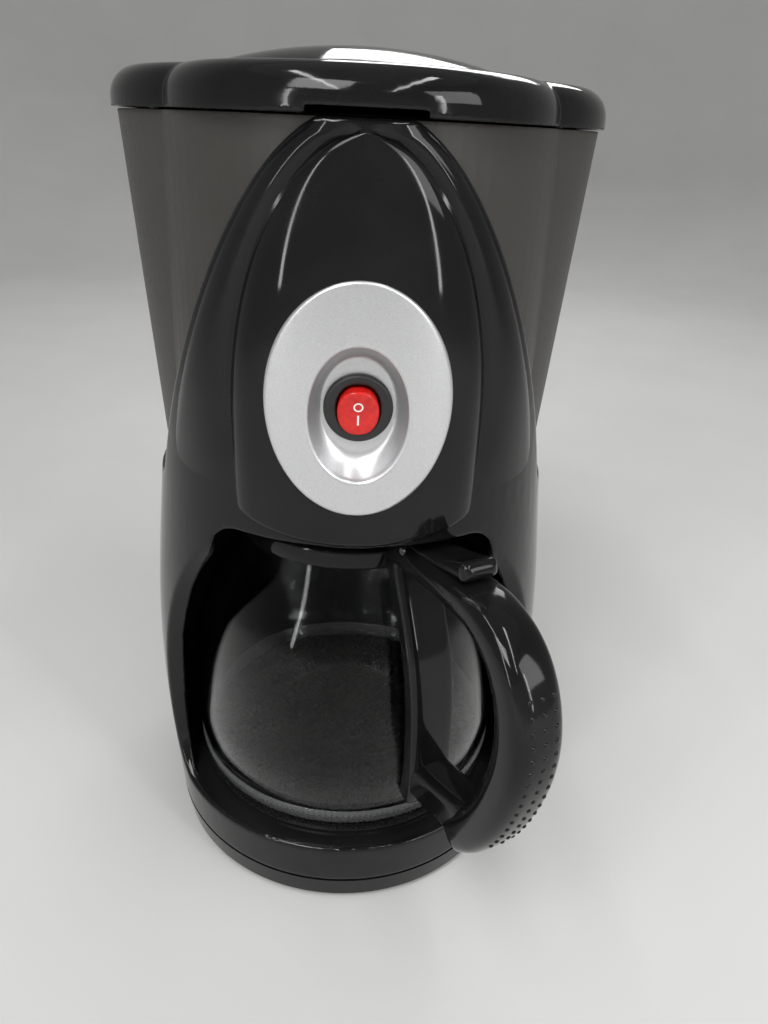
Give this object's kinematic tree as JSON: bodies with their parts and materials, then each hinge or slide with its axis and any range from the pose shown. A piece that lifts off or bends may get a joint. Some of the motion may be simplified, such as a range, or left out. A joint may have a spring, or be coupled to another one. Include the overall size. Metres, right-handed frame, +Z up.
{
  "type": "drip coffee maker",
  "caption": "Filter coffee maker with a hinged lid, rear water tank, front rocker switch in an oval bezel, hotplate and a glass jug with handle and flip lid.",
  "frame": {"origin": "on the table under the middle of the coffee maker's bounding box, between its round base and its handle", "axes": "+X to the right seen from the front, +Y to the back, +Z up"},
  "size_m": [0.151, 0.1996, 0.277],
  "materials": {
    "gloss_black": "gloss moulded",
    "charcoal": "satin moulded",
    "silver": "satin silver paint",
    "matte_black": "matte moulded",
    "red": "translucent gloss",
    "rubber": "matte",
    "steel": "bright",
    "plate": "non-stick coating",
    "aluminium": "as extruded",
    "brass": "bright",
    "tube": "natural",
    "glass": "clear blown"
  },
  "bodies": {
    "root": {"body_housing": "gloss_black", "base_cover": "gloss_black", "front_panel": "gloss_black", "tank_housing": "charcoal", "switch_bezel": "silver", "switch_body": "matte_black", "filter_basket": "matte_black", "spray_head": "matte_black", "check_valve": "matte_black", "cord_gland": "matte_black", "base_feet": "rubber", "hotplate_seal": "rubber", "riser_grommet": "rubber", "cold_hose": "rubber", "hot_hose": "rubber", "base_screws": "steel", "clamp_bar": "steel", "clamp_nut": "steel", "hose_clips": "steel", "lid_hinge_pin": "steel", "drip_spring": "steel", "thermostat": "steel", "mesh_filter": "steel", "hotplate": "plate", "heating_element": "aluminium", "water_tube": "aluminium", "switch_terminals": "brass", "thermal_fuse": "brass", "riser_tube": "tube"},
    "lid": {"lid": "gloss_black"},
    "rocker": {"switch_rocker": "red"},
    "jug": {"jug_glass": "glass", "jug_collar": "gloss_black", "jug_handle": "gloss_black", "handle_screw": "steel", "jug_lid_pin": "steel"},
    "jug_lid": {"jug_lid": "gloss_black"},
    "drip_valve": {"drip_valve": "tube"},
    "check_ball": {"check_ball": "steel"}
  },
  "joints": [
    {"name": "lid_hinge", "type": "hinge", "parent": "root", "child": "lid", "pos_m": [0, 0.0959, 0.26], "axis": [-1, 0, 0], "range_deg": [0, 100]},
    {"name": "rocker_hinge", "type": "hinge", "parent": "root", "child": "rocker", "pos_m": [0, -0.0478, 0.1872], "axis": [1, 0, 0], "range_deg": [-18, 0]},
    {"name": "jug_slide", "type": "slide", "parent": "root", "child": "jug", "axis": [0, -1, 0], "range_m": [0, 0.16]},
    {"name": "jug_lid_hinge", "type": "hinge", "parent": "jug", "child": "jug_lid", "pos_m": [0.02192, -0.03794, 0.1383], "axis": [0.8988, 0.4384, 0], "range_deg": [0, 5]},
    {"name": "drip_valve_slide", "type": "slide", "parent": "root", "child": "drip_valve", "axis": [0, 0, 1], "range_m": [0, 0.003], "stiffness_N_per_m": 150, "deforming": ["drip_spring"]},
    {"name": "check_ball_slide", "type": "slide", "parent": "root", "child": "check_ball", "axis": [0, 0, 1], "range_m": [0, 0.0025]}
  ]
}
